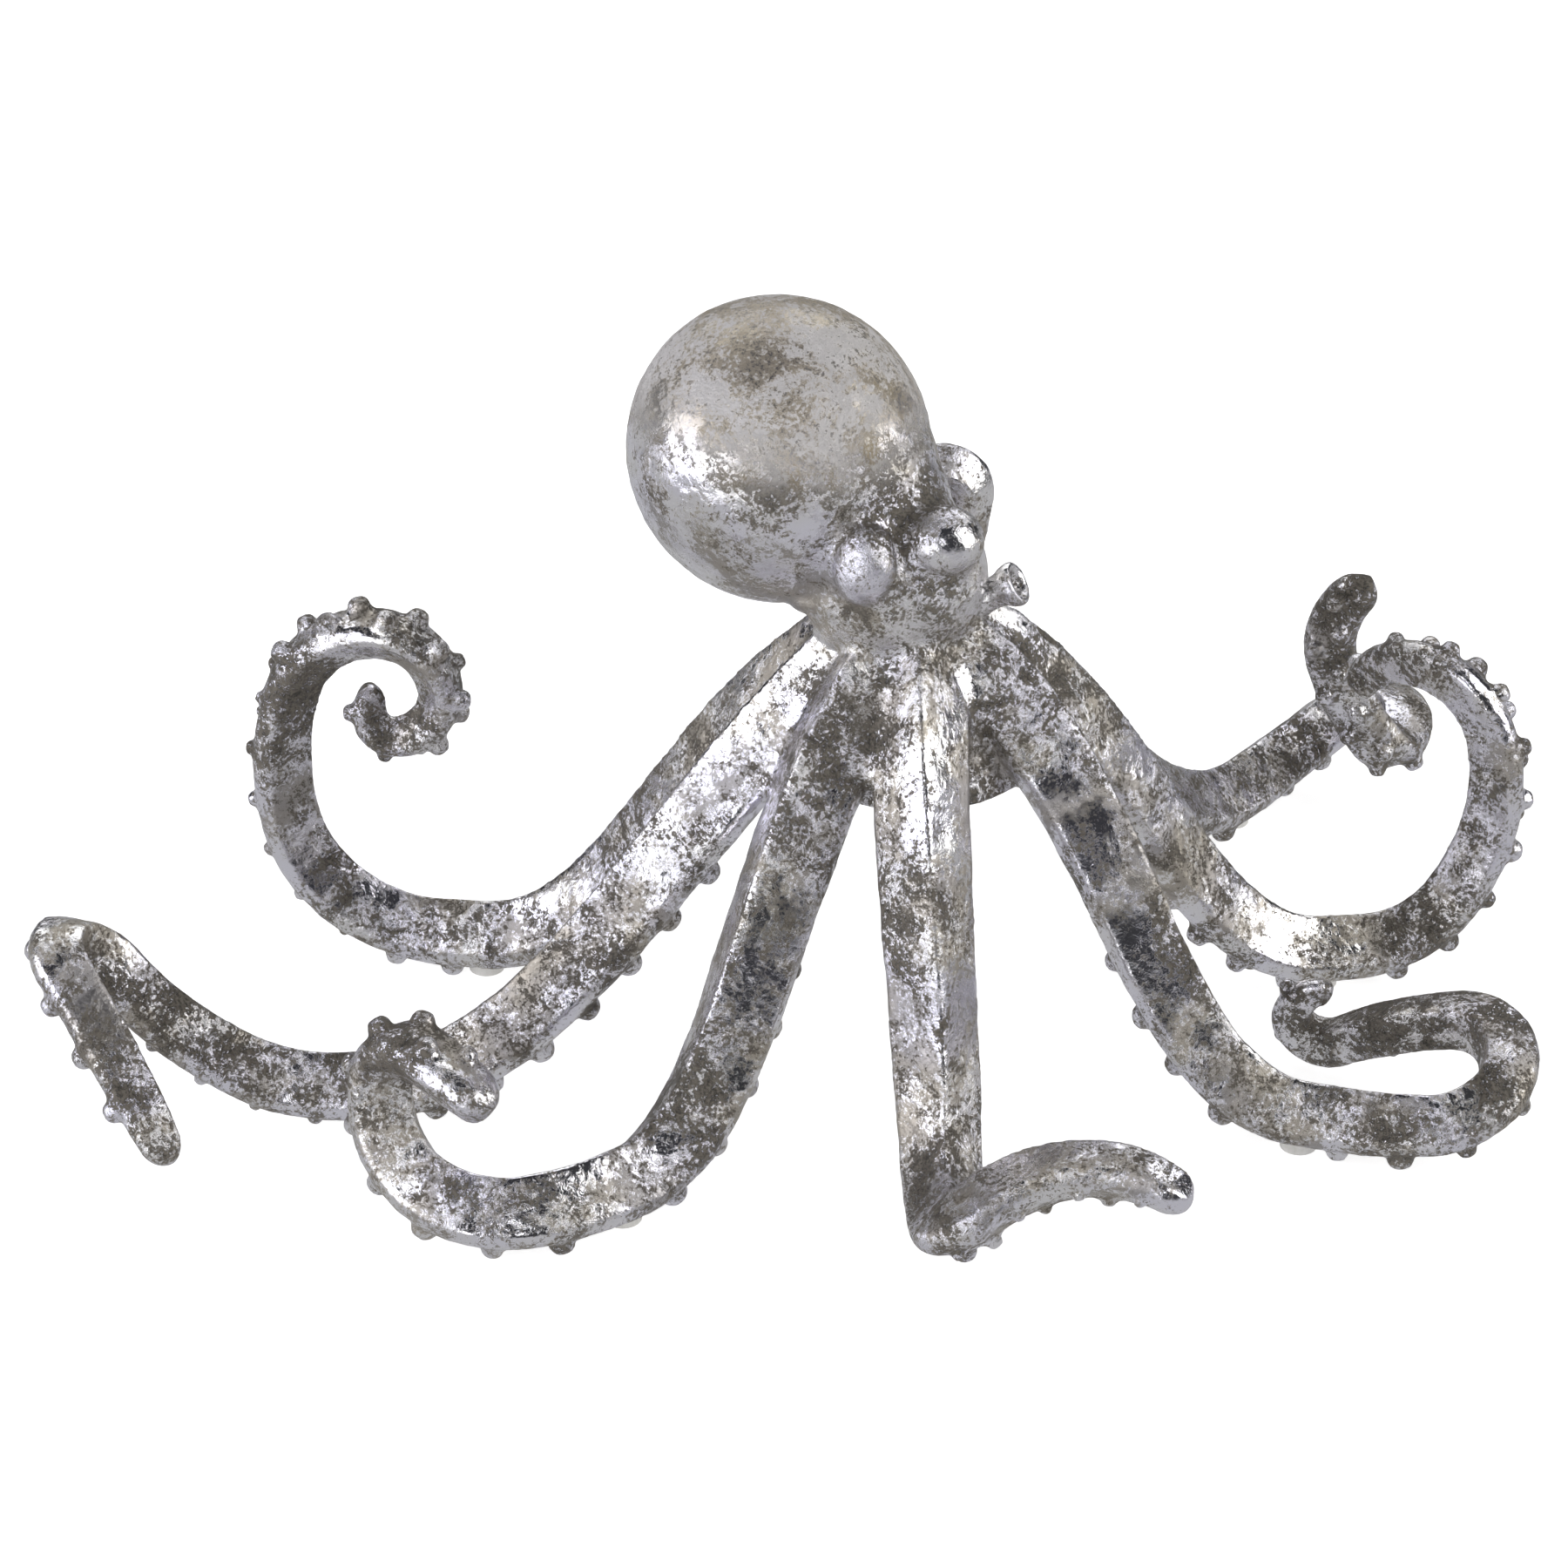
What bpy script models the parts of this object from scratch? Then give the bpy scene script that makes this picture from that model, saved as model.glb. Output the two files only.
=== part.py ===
"""Octopus ornament: a hollow cast head, eight cast arms pinned to it, a siphon, a pour-hole plug and pads.

Metres, +Z up. The octopus is drawn round its own upright axis, which runs through the middle of the ring of
arms, with the table at height zero. At the end everything is carried by one empty, so that the origin is
the middle of the underside of the bounding box.
"""

import math

import bmesh
import bpy
from mathutils import Matrix, Vector

# Fits
GAP = 0.0003                  # between pieces that touch

# Ring of arms: where the arms leave the head, measured on the line under each arm
ROOT_REACH = 0.011
ROOT_HEIGHT = 0.091
ROOT_DIP = 40.0               # degrees below level at which an arm leaves the head
FALL_START = 0.40             # handle lengths of the falling curve, as shares of its span
FALL_END = 0.30
REST_HEIGHT = 0.003           # underside of an arm where it rests, above the table

# Section of an arm
ROOT_HALF_WIDTH = 0.0105
TAPER = 0.60                  # below one keeps an arm full until near its tip
THICKNESS = 1.6               # thickness of an arm over its half width
RING_SPACING = 0.0075
PROFILE = [(0.0, 1.0), (0.55, 0.80), (0.95, 0.45), (0.85, 0.14), (0.45, 0.0),
           (-0.45, 0.0), (-0.85, 0.14), (-0.95, 0.45), (-0.55, 0.80)]

# Suckers, in two staggered rows under each arm
SUCKER_SPACING = 0.013        # along one row; the other row stands half of it ahead
SUCKER_RADIUS = 0.30          # shares of the arm's half width
SUCKER_HEIGHT = 0.26
SUCKER_OFFSET = 0.46
SUCKER_MOUTH = 0.72           # radius of the rim over the radius of the root
SUCKER_SIDES = 5
SUCKERS_START = 0.014         # beyond the joint
SUCKERS_STOP = 0.006          # short of the tip

# Joints between the arms and the head
JOINT_REACH = 0.044
STUB_OVERRUN = 0.006
TRIM_ROOM = 0.001              # how far the joint-face cutter stands out beside a stub
SUCKER_ROOTED = 0.001          # how deep a sucker is rooted in its arm
TIP_SECTIONS = ((0.80, 0.45), (0.40, 0.80))   # size and distance ahead, over the tip's own
PIN_DIAMETER = 0.004
PIN_LENGTH = 0.022

# Pads under the arms
PAD_DIAMETER = 0.008

# Head: every height is tied to the ring of arms
MANTLE_RADIUS = 0.0325
MANTLE_CENTRE = Vector((-0.029, 0.015, ROOT_HEIGHT + 0.0465))
HEAD_RADIUS = 0.0195
HEAD_CENTRE = Vector((-0.006, -0.002, ROOT_HEIGHT + 0.025))
NECK_RADIUS = 0.0195
NECK_CENTRE = Vector((-0.013, 0.006, ROOT_HEIGHT + 0.036))
EYE_RADIUS = 0.0078
EYE_SPREAD = Vector((0.0082, 0.0023, 0.0014))
EYE_CENTRE = Vector((-0.0033, -0.0116, ROOT_HEIGHT + 0.0360))
RIM_RADIUS = 0.0055
RIM_CENTRE = Vector((-0.0235, -0.006, ROOT_HEIGHT + 0.0215))
WEB_RADIUS = 0.031
WEB_TOP_RADIUS = 0.018
WEB_BOTTOM = ROOT_HEIGHT - 0.018
WEB_TOP = ROOT_HEIGHT + 0.016
FLAT_BASE_RADIUS = 0.014       # flat face around the pour hole
CUT_PAST = 0.010               # how far the cutters under the head run out of it
CAST_VOXEL = 0.0026
CAST_KEPT = 0.17              # share of the casting's faces that are kept

# Hollow of the head
WALL = 0.006
THROAT_RADIUS = 0.013
THROAT_CENTRE = Vector((-0.010, 0.004, ROOT_HEIGHT + 0.028))
PLUG_DIAMETER = 0.016
PLUG_LENGTH = 0.008
PLUG_LIP = 0.002

# Siphon: a trumpet in a round seat on the right of the head
SIPHON_BASE = Vector((0.0130, -0.003, ROOT_HEIGHT + 0.0205))
SIPHON_AIM = Vector((0.80, -0.20, 0.50))
SIPHON_SPIGOT_RADIUS = 0.0030
SIPHON_SPIGOT_LENGTH = 0.005
SIPHON_NECK_RADIUS = 0.0034
SIPHON_MOUTH_RADIUS = 0.0046
SIPHON_LENGTH = 0.0095
SIPHON_NECK_AT = 0.45          # shares of the length
SIPHON_FLARE_AT = 0.85
SIPHON_BORE_AT = 0.3
SIPHON_RIM = 0.92              # rim's radius over the mouth's
SIPHON_BORE_SPREAD = 2.4       # how much wider the bore is where it opens
SIPHON_BORE_FLOOR = 0.0012

# Number of flats around each round shape
PIN_SIDES = 12
PAD_SIDES = 20
SIPHON_SIDES = 20
BORE_SIDES = 16
PLUG_SIDES = 24
BALL_SIDES = 24
MANTLE_SIDES = 32

# Each arm: the bearing at which it leaves the head, how far out and on which bearing it comes down on the
# table, the bearing it then travels on, its half width at the tip, and the arcs that follow. An arc is its
# length, then the degrees that it turns to the left and the degrees that it rears up.
ARMS = {
    "front": dict(
        root=-90, reach=0.076, lands=-86, travel=-88, tip=0.0062,
        arcs=[(0.008, 0, 10), (0.016, 90, 60), (0.012, 0, -20), (0.023, -5, -48)]),
    "front_left": dict(
        root=-133, reach=0.092, lands=-132, travel=-140, tip=0.0068,
        arcs=[(0.022, -25, 0), (0.025, -55, 20), (0.024, 0, 58), (0.010, 0, 18), (0.023, 0, 100),
              (0.014, 0, 5)]),
    "left": dict(
        root=-167, reach=0.122, lands=-165, travel=-178, tip=0.0054,
        arcs=[(0.006, 0, 0), (0.024, 0, 32), (0.038, -2, 24), (0.008, 20, -10), (0.016, 122, 0),
              (0.040, 5, -5)]),
    "back_left": dict(
        root=160, reach=0.100, lands=163, travel=172, tip=0.0042,
        arcs=[(0.008, 0, 0), (0.020, 0, 25), (0.038, 0, 55), (0.012, 0, 10), (0.024, 0, 20), (0.032, 0, 70),
              (0.029, 0, 90), (0.024, 0, 90), (0.013, 0, 84), (0.005, 0, 20)]),
    "back": dict(
        root=86, reach=0.098, lands=88, travel=91, tip=0.0042,
        arcs=[(0.010, 0, 0), (0.030, 0, 88), (0.051, 0, 2), (0.022, -185, 0), (0.022, -8, 0)]),
    "back_right": dict(
        root=50, reach=0.124, lands=50, travel=52, tip=0.0054,
        arcs=[(0.006, 0, 0), (0.030, -20, 26), (0.033, -139, 26), (0.020, 0, 88), (0.022, 10, 5),
              (0.026, 60, 10)]),
    "right": dict(
        root=17, reach=0.096, lands=14, travel=8, tip=0.0048,
        arcs=[(0.007, 0, 0), (0.034, 0, 60), (0.034, 0, 34), (0.018, 15, 26), (0.022, 50, 45),
              (0.020, 40, 40)]),
    "front_right": dict(
        root=-24, reach=0.092, lands=-27, travel=-20, tip=0.0038,
        arcs=[(0.026, 10, 6), (0.014, 25, 22), (0.038, 138, 46), (0.026, 5, -24), (0.016, -50, 85),
              (0.018, -65, 80)]),
}

# Colour, roughness and metallic value of each material
LOOKS = {
    "silver_leaf": ((0.70, 0.69, 0.68, 1.0), 0.30, 1.0),
    "undercoat": ((0.30, 0.26, 0.20, 1.0), 0.60, 0.0),
    "steel": ((0.56, 0.57, 0.58, 1.0), 0.35, 1.0),
    "pad_rubber": ((0.62, 0.61, 0.59, 1.0), 0.60, 0.0),
}


def clear_scene():
    """Remove every object, so that the script can be run again."""
    for old in list(bpy.data.objects):
        bpy.data.objects.remove(old, do_unlink=True)


def make_collection(name):
    collection = bpy.data.collections.new(name)
    bpy.context.scene.collection.children.link(collection)
    return collection


def make_material(node, look):
    """A Principled material of the node's own."""
    colour, roughness, metallic = LOOKS[look]
    material = bpy.data.materials.new(node + "_" + look)
    material.use_nodes = True
    shader = material.node_tree.nodes["Principled BSDF"]
    shader.inputs["Base Color"].default_value = colour
    shader.inputs["Roughness"].default_value = roughness
    shader.inputs["Metallic"].default_value = metallic
    return material


def add_piece(name, shape, look):
    """Make a named node from a bmesh, smooth shaded."""
    mesh = bpy.data.meshes.new(name)
    shape.to_mesh(mesh)
    shape.free()
    mesh.shade_smooth()
    mesh.set_sharp_from_angle(angle=math.radians(40))
    mesh.materials.append(make_material(name, look))
    piece = bpy.data.objects.new(name, mesh)
    PARTS.objects.link(piece)
    piece.parent = CARRIER
    return piece


def add_cutter(name, shape):
    """Make a shape that is only used by Boolean modifiers."""
    mesh = bpy.data.meshes.new(name)
    shape.to_mesh(mesh)
    shape.free()
    cutter = bpy.data.objects.new(name, mesh)
    CUTTERS.objects.link(cutter)
    cutter.parent = CARRIER
    cutter.hide_render = True
    cutter.display_type = "WIRE"
    return cutter


def cut(piece, cutter, operation="DIFFERENCE"):
    modifier = piece.modifiers.new(cutter.name, "BOOLEAN")
    modifier.operation = operation
    modifier.solver = "EXACT"
    modifier.object = cutter


def bearing(degrees):
    """Level unit vector on a bearing, anticlockwise from +X."""
    angle = math.radians(degrees)
    return Vector((math.cos(angle), math.sin(angle), 0.0))


def facing(origin, forward, up=Vector((0.0, 0.0, 1.0))):
    """Matrix whose local Z runs along forward and whose local Y lies on the side of up."""
    z = forward.normalized()
    x = up.cross(z).normalized()
    y = z.cross(x)
    return Matrix.Translation(origin) @ Matrix((x, y, z)).transposed().to_4x4()


def cone(radius, end_radius, length, placed, sides):
    """Closed cone or cylinder from the placed origin along its local Z."""
    shape = bmesh.new()
    middle = Matrix.Translation((0.0, 0.0, length / 2))
    bmesh.ops.create_cone(shape, cap_ends=True, segments=sides, radius1=radius, radius2=end_radius,
                          depth=length, matrix=placed @ middle)
    return shape


def ball(shape, centre, radius, sides=BALL_SIDES):
    bmesh.ops.create_uvsphere(shape, u_segments=sides, v_segments=sides // 2, radius=radius,
                              matrix=Matrix.Translation(centre))


def falling_curve(arm):
    """Frames of the line under an arm, from the head down to where it meets the table."""
    leaving = bearing(arm["root"])
    travel = bearing(arm["travel"])
    start = leaving * ROOT_REACH + Vector((0.0, 0.0, ROOT_HEIGHT))
    end = bearing(arm["lands"]) * arm["reach"] + Vector((0.0, 0.0, REST_HEIGHT))
    span = (end - start).length
    dip = math.radians(ROOT_DIP)
    drop = leaving * math.cos(dip) - Vector((0.0, 0.0, math.sin(dip)))
    a = start + drop * FALL_START * span
    b = end - travel * FALL_END * span
    steps = round(span / 0.001)
    frames = []
    for i in range(steps):
        t = i / steps
        s = 1.0 - t
        point = start * s**3 + a * (3 * s * s * t) + b * (3 * s * t * t) + end * t**3
        slope = (a - start) * (s * s) + (b - a) * (2 * s * t) + (end - b) * (t * t)
        forward = slope.normalized()
        side = Vector((0.0, 0.0, 1.0)).cross(forward).normalized()
        frames.append((point, forward, forward.cross(side)))
    return frames


def arm_frames(arm):
    """Point, forward and up at about every millimetre of the line under an arm, and the landing's number."""
    frames = falling_curve(arm)
    landing = len(frames)
    point = bearing(arm["lands"]) * arm["reach"] + Vector((0.0, 0.0, REST_HEIGHT))
    forward = bearing(arm["travel"])
    up = Vector((0.0, 0.0, 1.0))
    frames.append((point, forward, up))
    for length, left, rise in arm["arcs"]:
        steps = round(length / 0.001)
        for _ in range(steps):
            turn = Matrix.Rotation(math.radians(left) / steps, 3, up)
            side = turn @ up.cross(forward)
            rear = Matrix.Rotation(-math.radians(rise) / steps, 3, side)
            ahead = (rear @ (turn @ forward)).normalized()
            up = (rear @ up).normalized()
            point = point + (forward + ahead).normalized() * (length / steps)
            forward = ahead
            frames.append((point, forward, up))
    return frames, landing


def lengths_along(frames):
    total = 0.0
    lengths = [total]
    for before, after in zip(frames, frames[1:]):
        total += (after[0] - before[0]).length
        lengths.append(total)
    return lengths


def half_width(arm, share):
    """Half width of an arm at a share of its length."""
    return arm["tip"] + (ROOT_HALF_WIDTH - arm["tip"]) * (1.0 - share) ** TAPER


def section(frame, width, scale=1.0, ahead=0.0):
    """Points of the keeled section on a frame, shrunk about its middle and moved ahead for a rounded tip."""
    point, forward, up = frame
    side = up.cross(forward)
    middle = THICKNESS * width * 0.5
    points = []
    for x, y in PROFILE:
        lift = middle + (y * THICKNESS * width - middle) * scale
        points.append(point + side * (x * width * scale) + up * lift + forward * ahead)
    return points


def loft(rings):
    """Closed body through rings of equal count, with a flat face at each end."""
    shape = bmesh.new()
    rows = [[shape.verts.new(p) for p in ring] for ring in rings]
    count = len(rows[0])
    for near, far in zip(rows, rows[1:]):
        for i in range(count):
            j = (i + 1) % count
            shape.faces.new((near[i], near[j], far[j], far[i]))
    shape.faces.new(rows[0])
    shape.faces.new(rows[-1])
    bmesh.ops.recalc_face_normals(shape, faces=shape.faces)
    return shape


def arm_rings(arm, frames, lengths, start, end, rounded):
    """Sections from one length to another, closing to a rounded tip if asked."""
    total = lengths[-1]
    count = max(2, round((end - start) / RING_SPACING))
    rings = []
    for i in range(count + 1):
        wanted = start + (end - start) * i / count
        number = min(range(len(lengths)), key=lambda k: abs(lengths[k] - wanted))
        width = half_width(arm, lengths[number] / total)
        rings.append(section(frames[number], width))
    if rounded:
        for size, ahead in TIP_SECTIONS:
            rings.append(section(frames[-1], arm["tip"], size, arm["tip"] * ahead))
    return rings


def joint_number(frames):
    """Number of the frame where the arm meets its stub."""
    for number, (point, _forward, _up) in enumerate(frames):
        if math.hypot(point.x, point.y) >= JOINT_REACH:
            return number
    raise ValueError("The arm ends inside its joint")


def sucker_shapes(arm, frames, lengths, joint, landing):
    """All of an arm's suckers in one shape: short cones on either hand in turn, none under the pad."""
    shape = bmesh.new()
    total = lengths[-1]
    hand = 1.0
    wanted = lengths[joint] + SUCKERS_START
    while wanted < total - SUCKERS_STOP:
        number = min(range(len(lengths)), key=lambda k: abs(lengths[k] - wanted))
        point, forward, up = frames[number]
        width = half_width(arm, lengths[number] / total)
        radius = SUCKER_RADIUS * width
        height = SUCKER_HEIGHT * width
        clear_of_pad = PAD_DIAMETER / 2 + radius + GAP
        if abs(lengths[number] - lengths[landing]) > clear_of_pad:
            base = point + up.cross(forward) * (hand * SUCKER_OFFSET * width) + up * SUCKER_ROOTED
            placed = facing(base, -up, forward)
            length = height + SUCKER_ROOTED
            middle = Matrix.Translation((0.0, 0.0, length / 2))
            bmesh.ops.create_cone(shape, cap_ends=True, segments=SUCKER_SIDES, radius1=radius,
                                  radius2=radius * SUCKER_MOUTH, depth=length, matrix=placed @ middle)
        hand = -hand
        wanted += SUCKER_SPACING / 2
    return shape


def joint_place(arm, frames, lengths, joint):
    """Matrix in the middle of the joint, with local Z along the arm, and the arm's half width there."""
    point, forward, up = frames[joint]
    width = half_width(arm, lengths[joint] / lengths[-1])
    middle = point + up * (THICKNESS * width * 0.5)
    return facing(middle, forward, up), width


def add_arm(name, arm):
    """One arm with its suckers, its pin, its pad and the cutters that its joint needs."""
    frames, landing = arm_frames(arm)
    lengths = lengths_along(frames)
    joint = joint_number(frames)
    place, width = joint_place(arm, frames, lengths, joint)

    rings = arm_rings(arm, frames, lengths, lengths[joint] + RING_SPACING, lengths[-1], True)
    point, forward, up = frames[joint]
    rings.insert(0, section((point + forward * GAP, forward, up), width))
    piece = add_piece("arm_" + name, loft(rings), "silver_leaf")
    suckers = add_cutter("suckers_" + name, sucker_shapes(arm, frames, lengths, joint, landing))
    cut(piece, suckers, "UNION")

    hole_start = place @ Matrix.Translation((0.0, 0.0, -PIN_LENGTH / 2 - GAP))
    hole = cone(PIN_DIAMETER / 2 + GAP, PIN_DIAMETER / 2 + GAP, PIN_LENGTH + 2 * GAP, hole_start, PIN_SIDES)
    hole_cutter = add_cutter("pin_hole_" + name, hole)
    cut(piece, hole_cutter)

    pin_start = place @ Matrix.Translation((0.0, 0.0, -PIN_LENGTH / 2))
    pin = cone(PIN_DIAMETER / 2, PIN_DIAMETER / 2, PIN_LENGTH, pin_start, PIN_SIDES)
    add_piece("arm_pin_" + name, pin, "steel")

    rest = frames[landing][0]
    pad_start = Matrix.Translation((rest.x, rest.y, 0.0))
    pad = cone(PAD_DIAMETER / 2, PAD_DIAMETER / 2, REST_HEIGHT - GAP, pad_start, PAD_SIDES)
    add_piece("foot_pad_" + name, pad, "pad_rubber")

    room = width + TRIM_ROOM
    trim = bmesh.new()
    block = Matrix.Translation((0.0, 0.0, 2 * STUB_OVERRUN)) @ Matrix.Diagonal(
        (2 * room, 2 * room, 4 * STUB_OVERRUN, 1.0))
    bmesh.ops.create_cube(trim, size=1.0, matrix=place @ block)
    trim_cutter = add_cutter("joint_face_" + name, trim)
    stub = arm_rings(arm, frames, lengths, 0.0, lengths[joint] + STUB_OVERRUN, False)
    return stub, trim_cutter, hole_cutter


def join_shape(target, source):
    """Add one bmesh to another as a separate shell."""
    mesh = bpy.data.meshes.new("joined")
    source.to_mesh(mesh)
    source.free()
    target.from_mesh(mesh)
    bpy.data.meshes.remove(mesh)


def siphon_profile(grow=0.0):
    """Radius and height down the siphon's outside, from the end of its spigot to its rim."""
    return [
        (SIPHON_SPIGOT_RADIUS + grow, -SIPHON_SPIGOT_LENGTH - grow),
        (SIPHON_SPIGOT_RADIUS + grow, -grow),
        (SIPHON_MOUTH_RADIUS + grow, -grow),
        (SIPHON_NECK_RADIUS + grow, SIPHON_LENGTH * SIPHON_NECK_AT),
        (SIPHON_MOUTH_RADIUS + grow, SIPHON_LENGTH * SIPHON_FLARE_AT),
        (SIPHON_MOUTH_RADIUS * SIPHON_RIM + grow, SIPHON_LENGTH),
    ]


def turned(profile, placed, sides):
    """Closed turned body from radius and height pairs, with a flat face at each end."""
    rings = []
    for radius, height in profile:
        angles = [2 * math.pi * i / sides for i in range(sides)]
        rings.append([placed @ Vector((radius * math.cos(a), radius * math.sin(a), height)) for a in angles])
    return loft(rings)


def add_siphon():
    """The siphon with its bore, and the cutter for its seat in the head."""
    placed = facing(SIPHON_BASE, SIPHON_AIM)
    siphon = add_piece("siphon", turned(siphon_profile(), placed, SIPHON_SIDES), "silver_leaf")
    bore_start = placed @ Matrix.Translation((0.0, 0.0, SIPHON_LENGTH * SIPHON_BORE_AT))
    bore_mouth = SIPHON_BORE_FLOOR * SIPHON_BORE_SPREAD
    bore = cone(SIPHON_BORE_FLOOR, bore_mouth, SIPHON_LENGTH, bore_start, BORE_SIDES)
    cut(siphon, add_cutter("siphon_bore", bore))
    return add_cutter("siphon_seat", turned(siphon_profile(GAP), placed, SIPHON_SIDES))


def add_plug():
    """The plug under the head, with a lip under its hole, and the cutter for the hole."""
    radius = PLUG_DIAMETER / 2
    placed = Matrix.Translation((0.0, 0.0, WEB_BOTTOM))
    outline = [
        (radius + PLUG_LIP, -PLUG_LIP - GAP),
        (radius + PLUG_LIP, -GAP),
        (radius, -GAP),
        (radius, PLUG_LENGTH),
    ]
    add_piece("pour_plug", turned(outline, placed, PLUG_SIDES), "undercoat")
    hole_start = Matrix.Translation((0.0, 0.0, WEB_BOTTOM - CUT_PAST))
    hole_length = THROAT_CENTRE.z - WEB_BOTTOM + CUT_PAST
    return add_cutter("pour_hole", cone(radius + GAP, radius + GAP, hole_length, hole_start, PLUG_SIDES))


def add_head(stubs, trims, holes, seat, pour_hole):
    """The head casting: its balls, web and stubs are fused, then hollowed and cut for its fits."""
    shape = bmesh.new()
    ball(shape, MANTLE_CENTRE, MANTLE_RADIUS, MANTLE_SIDES)
    ball(shape, NECK_CENTRE, NECK_RADIUS)
    ball(shape, HEAD_CENTRE, HEAD_RADIUS)
    ball(shape, RIM_CENTRE, RIM_RADIUS)
    for hand in (-1.0, 1.0):
        ball(shape, EYE_CENTRE + hand * EYE_SPREAD, EYE_RADIUS)
    web_start = Matrix.Translation((0.0, 0.0, WEB_BOTTOM))
    join_shape(shape, cone(WEB_RADIUS, WEB_TOP_RADIUS, WEB_TOP - WEB_BOTTOM, web_start, MANTLE_SIDES))
    for stub in stubs:
        join_shape(shape, loft(stub))
    head = add_piece("mantle_and_head", shape, "silver_leaf")

    fuse = head.modifiers.new("fuse", "REMESH")
    fuse.mode = "VOXEL"
    fuse.voxel_size = CAST_VOXEL
    soften = head.modifiers.new("soften", "SMOOTH")
    soften.factor = 0.5
    soften.iterations = 4
    thin_out = head.modifiers.new("thin_out", "DECIMATE")
    thin_out.ratio = CAST_KEPT
    below = Matrix.Translation((0.0, 0.0, WEB_BOTTOM - 2 * CUT_PAST))
    flat_base = cone(FLAT_BASE_RADIUS, FLAT_BASE_RADIUS, 2 * CUT_PAST, below, PLUG_SIDES)
    cut(head, add_cutter("flat_base", flat_base))

    for trim in trims:
        cut(head, trim)
    for hole in holes:
        cut(head, hole)
    mantle_hollow = bmesh.new()
    ball(mantle_hollow, MANTLE_CENTRE, MANTLE_RADIUS - WALL)
    cut(head, add_cutter("mantle_hollow", mantle_hollow))
    throat = bmesh.new()
    ball(throat, THROAT_CENTRE, THROAT_RADIUS)
    cut(head, add_cutter("throat", throat))
    cut(head, pour_hole)
    cut(head, seat)


def settle_origin():
    """Move the carrier so that the origin is the middle of the underside of the bounding box."""
    depsgraph = bpy.context.evaluated_depsgraph_get()
    corners = []
    for piece in PARTS.objects:
        evaluated = piece.evaluated_get(depsgraph)
        corners.extend(piece.matrix_world @ vertex.co for vertex in evaluated.data.vertices)
    low = [min(corner[axis] for corner in corners) for axis in range(3)]
    high = [max(corner[axis] for corner in corners) for axis in range(3)]
    CARRIER.location = (-(low[0] + high[0]) / 2, -(low[1] + high[1]) / 2, -low[2])


clear_scene()
PARTS = make_collection("octopus_ornament")
CUTTERS = make_collection("cutters")
CARRIER = bpy.data.objects.new("octopus_axis", None)
bpy.context.scene.collection.objects.link(CARRIER)

fits = [add_arm(name, arm) for name, arm in ARMS.items()]
siphon_seat = add_siphon()
plug_hole = add_plug()
add_head([fit[0] for fit in fits], [fit[1] for fit in fits], [fit[2] for fit in fits], siphon_seat, plug_hole)
settle_origin()
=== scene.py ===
"""Looks of the silver-leaf octopus: swept arms, sucker rows, a fused head casting and antique leaf."""

import math

import bmesh
import bpy
from mathutils import Matrix, Vector


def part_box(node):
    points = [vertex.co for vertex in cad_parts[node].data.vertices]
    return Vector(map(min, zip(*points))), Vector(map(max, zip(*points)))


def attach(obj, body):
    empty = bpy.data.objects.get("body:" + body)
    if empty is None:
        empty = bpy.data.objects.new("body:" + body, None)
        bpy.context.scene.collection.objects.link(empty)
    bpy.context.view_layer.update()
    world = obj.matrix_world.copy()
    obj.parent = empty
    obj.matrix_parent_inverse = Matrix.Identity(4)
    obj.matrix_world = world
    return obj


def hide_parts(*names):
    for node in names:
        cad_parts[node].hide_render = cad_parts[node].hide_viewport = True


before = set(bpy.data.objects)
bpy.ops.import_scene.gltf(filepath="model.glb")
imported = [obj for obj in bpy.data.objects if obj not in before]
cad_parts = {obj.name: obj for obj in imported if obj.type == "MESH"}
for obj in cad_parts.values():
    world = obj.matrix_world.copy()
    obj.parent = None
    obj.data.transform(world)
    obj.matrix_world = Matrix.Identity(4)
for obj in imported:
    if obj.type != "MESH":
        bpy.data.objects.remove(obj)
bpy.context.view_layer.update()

# The octopus's own upright axis stands in the middle of the pour-hole plug
PLUG_LOW, PLUG_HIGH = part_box("pour_plug")
AXIS = Vector(((PLUG_LOW[0] + PLUG_HIGH[0]) / 2, (PLUG_LOW[1] + PLUG_HIGH[1]) / 2, 0.0))

# Fits, the same as in the solid model
GAP = 0.0003
SEAM = 0.00003                # what the leaf leaves open at a joint
JOINT_REACH = 0.044
PIN_DIAMETER = 0.004
PIN_LENGTH = 0.022
PLUG_RADIUS = 0.008
PLUG_LENGTH = 0.008
PAD_RADIUS = 0.004

# Line under each arm, the same rule as in the solid model
ROOT_REACH = 0.011
ROOT_HEIGHT = 0.091
ROOT_DIP = 40.0
FALL_START = 0.40
FALL_END = 0.30
REST_HEIGHT = 0.003
ROOT_HALF_WIDTH = 0.0105
TAPER = 0.60
THICKNESS = 1.6
BELLY = 0.64                  # the section's widest line above the underside, over the half width
LEAD_IN = 0.025               # how far a stub runs back into the head
LEAD_BEND = 26.0              # degrees that it bends up on the way
LEAD_SLIMMING = 0.36          # share of its width that it loses
LEAD_STEPS = 14
TIP_STEPS = 8
TIP_LEAST = 0.05              # width of a tip's last ring over the tip's own
FRAMES_BEHIND = 6             # frames that an arm's sweep starts behind its joint
FRAMES_PAST = 7               # frames that a stub's sweep runs past its joint

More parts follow.
